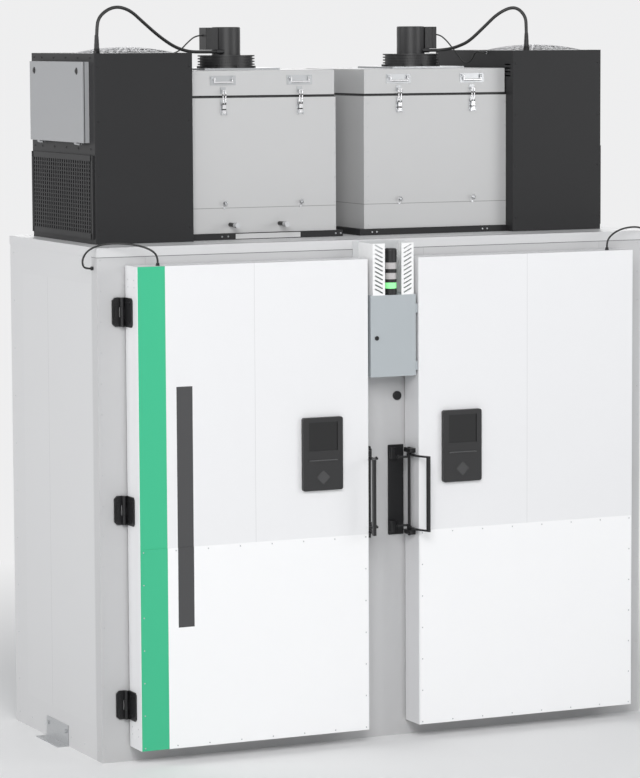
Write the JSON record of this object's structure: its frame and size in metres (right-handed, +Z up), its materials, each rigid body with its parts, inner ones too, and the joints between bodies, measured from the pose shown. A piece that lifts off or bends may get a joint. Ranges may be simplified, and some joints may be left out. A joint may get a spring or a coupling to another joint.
{
  "type": "ultra low temperature freezer",
  "caption": "Tall white two-door walk-up ultra low temperature freezer with dark cooling units and light grey coil boxes on its roof.",
  "frame": {"origin": "centre of the bounding box at floor level", "axes": "+X to the right seen from the front, +Y to the back, +Z up"},
  "size_m": [2.614, 1.241, 3.0699],
  "materials": {
    "cabinet_skin": "powder-coated skin over foam, semi-matt",
    "door_skin": "powder-coated skin over foam, smooth",
    "kick_skin": "white coated sheet",
    "gasket": "soft black",
    "black_metal": "satin black coat",
    "black_plastic": "satin",
    "grey_box": "blue-grey coat",
    "chrome_trim": "bright",
    "lens": "translucent",
    "white_sheet": "white coat",
    "stainless": "brushed",
    "charcoal_sheet": "charcoal coat",
    "coil_fins": "mill finish",
    "guard_metal": "bright wire",
    "fan_plastic": "matt",
    "enclosure_grey": "grey coat",
    "housing_grey": "light grey skin over foam",
    "rail_black": "matt black",
    "motor_black": "black cast case",
    "wheel_metal": "mill finish",
    "cable_black": "matt"
  },
  "bodies": {
    "cabinet": {"floor_panel": "cabinet_skin", "roof_panel": "cabinet_skin", "back_panel": "cabinet_skin", "side_panels": "cabinet_skin", "divider_panel": "cabinet_skin", "front_frame": "cabinet_skin", "shelf_standards": "stainless", "shelves": "stainless", "foot_brackets": "stainless", "hinge_leaves": "black_metal", "strike_plates": "black_metal", "control_box": "grey_box", "signal_mast": "black_plastic", "signal_lenses": "lens", "mast_guards": "white_sheet", "unit_housings": "charcoal_sheet", "intake_grilles": "charcoal_sheet", "condenser_coils": "coil_fins", "fan_guards": "guard_metal", "enclosures": "enclosure_grey", "evaporator_housings": "housing_grey", "housing_rails": "rail_black", "evaporator_coils": "coil_fins", "roof_fittings": "stainless", "door_cable_left": "cable_black", "door_cable_right": "cable_black", "power_cable_left": "cable_black", "power_cable_right": "cable_black", "signal_cable_left": "cable_black", "signal_cable_right": "cable_black"},
    "control_door": {"control_box_door": "grey_box"},
    "control_lock": {"control_lock": "chrome_trim"},
    "door_left": {"door_left": "door_skin", "kick_sheet_left": "kick_skin", "door_gasket_left": "gasket", "door_hardware_left": "black_metal", "control_panel_left": "black_plastic"},
    "handle_left": {"handle_left": "black_metal"},
    "unit_fan_left": {"unit_fan_left": "fan_plastic"},
    "cover_left": {"enclosure_cover_left": "enclosure_grey"},
    "lid_left": {"housing_lid_left": "housing_grey", "lid_fittings_left": "stainless", "fan_motor_left": "motor_black"},
    "pulls_left": {"lid_pulls_left": "chrome_trim"},
    "latches_left": {"latches_left": "chrome_trim"},
    "blower_left": {"blower_left": "wheel_metal"},
    "door_right": {"door_right": "door_skin", "kick_sheet_right": "kick_skin", "door_gasket_right": "gasket", "door_hardware_right": "black_metal", "control_panel_right": "black_plastic"},
    "handle_right": {"handle_right": "black_metal"},
    "unit_fan_right": {"unit_fan_right": "fan_plastic"},
    "cover_right": {"enclosure_cover_right": "enclosure_grey"},
    "lid_right": {"housing_lid_right": "housing_grey", "lid_fittings_right": "stainless", "fan_motor_right": "motor_black"},
    "pulls_right": {"lid_pulls_right": "chrome_trim"},
    "latches_right": {"latches_right": "chrome_trim"},
    "blower_right": {"blower_right": "wheel_metal"}
  },
  "joints": [
    {"name": "control_door_swing", "type": "hinge", "parent": "cabinet", "child": "control_door", "pos_m": [0.109, -0.5345, 1.707], "axis": [0, 0, 1], "range_deg": [0, 110]},
    {"name": "control_lock_turn", "type": "hinge", "parent": "control_door", "child": "control_lock", "pos_m": [-0.076, -0.5345, 1.699], "axis": [0, -1, 0], "range_deg": [0, 90]},
    {"name": "door_swing_left", "type": "hinge", "parent": "cabinet", "child": "door_left", "pos_m": [-1.154, -0.4155, 1.035], "axis": [0, 0, -1], "range_deg": [0, 100], "deforming": ["door_cable_left"]},
    {"name": "handle_turn_left", "type": "hinge", "parent": "door_left", "child": "handle_left", "pos_m": [-0.101, -0.4785, 1.046], "axis": [0, 0, 1], "range_deg": [0, 50]},
    {"name": "unit_fan_spin_left", "type": "hinge", "parent": "cabinet", "child": "unit_fan_left", "pos_m": [-0.96, 0.0245, 2.81], "axis": [0, 0, 1], "continuous": true},
    {"name": "cover_swing_left", "type": "hinge", "parent": "cabinet", "child": "cover_left", "pos_m": [-1.198, 0.1765, 2.506], "axis": [0, -1, 0], "range_deg": [0, 100]},
    {"name": "lid_lift_left", "type": "slide", "parent": "cabinet", "child": "lid_left", "axis": [0, 0, 1], "range_m": [0, 0.3], "deforming": ["power_cable_left", "signal_cable_left"]},
    {"name": "pulls_swing_left", "type": "hinge", "parent": "lid_left", "child": "pulls_left", "pos_m": [-0.4055, -0.1315, 2.77], "axis": [-1, 0, 0], "range_deg": [0, 90]},
    {"name": "latches_turn_left", "type": "hinge", "parent": "cabinet", "child": "latches_left", "pos_m": [-0.4055, -0.1365, 2.626], "axis": [1, 0, 0], "range_deg": [0, 150]},
    {"name": "blower_spin_left", "type": "hinge", "parent": "lid_left", "child": "blower_left", "pos_m": [-0.436, 0.1725, 2.593], "axis": [0, 0, 1], "continuous": true},
    {"name": "door_swing_right", "type": "hinge", "parent": "cabinet", "child": "door_right", "pos_m": [1.154, -0.4155, 1.035], "axis": [0, 0, 1], "range_deg": [0, 100], "deforming": ["door_cable_right"]},
    {"name": "handle_turn_right", "type": "hinge", "parent": "door_right", "child": "handle_right", "pos_m": [0.101, -0.4785, 1.046], "axis": [0, 0, -1], "range_deg": [0, 50]},
    {"name": "unit_fan_spin_right", "type": "hinge", "parent": "cabinet", "child": "unit_fan_right", "pos_m": [0.96, 0.0245, 2.81], "axis": [0, 0, 1], "continuous": true},
    {"name": "cover_swing_right", "type": "hinge", "parent": "cabinet", "child": "cover_right", "pos_m": [1.198, 0.1765, 2.506], "axis": [0, 1, 0], "range_deg": [0, 100]},
    {"name": "lid_lift_right", "type": "slide", "parent": "cabinet", "child": "lid_right", "axis": [0, 0, 1], "range_m": [0, 0.3], "deforming": ["power_cable_right", "signal_cable_right"]},
    {"name": "pulls_swing_right", "type": "hinge", "parent": "lid_right", "child": "pulls_right", "pos_m": [0.4055, -0.1315, 2.77], "axis": [-1, 0, 0], "range_deg": [0, 90]},
    {"name": "latches_turn_right", "type": "hinge", "parent": "cabinet", "child": "latches_right", "pos_m": [0.4055, -0.1365, 2.626], "axis": [1, 0, 0], "range_deg": [0, 150]},
    {"name": "blower_spin_right", "type": "hinge", "parent": "lid_right", "child": "blower_right", "pos_m": [0.436, 0.1725, 2.593], "axis": [0, 0, 1], "continuous": true}
  ]
}
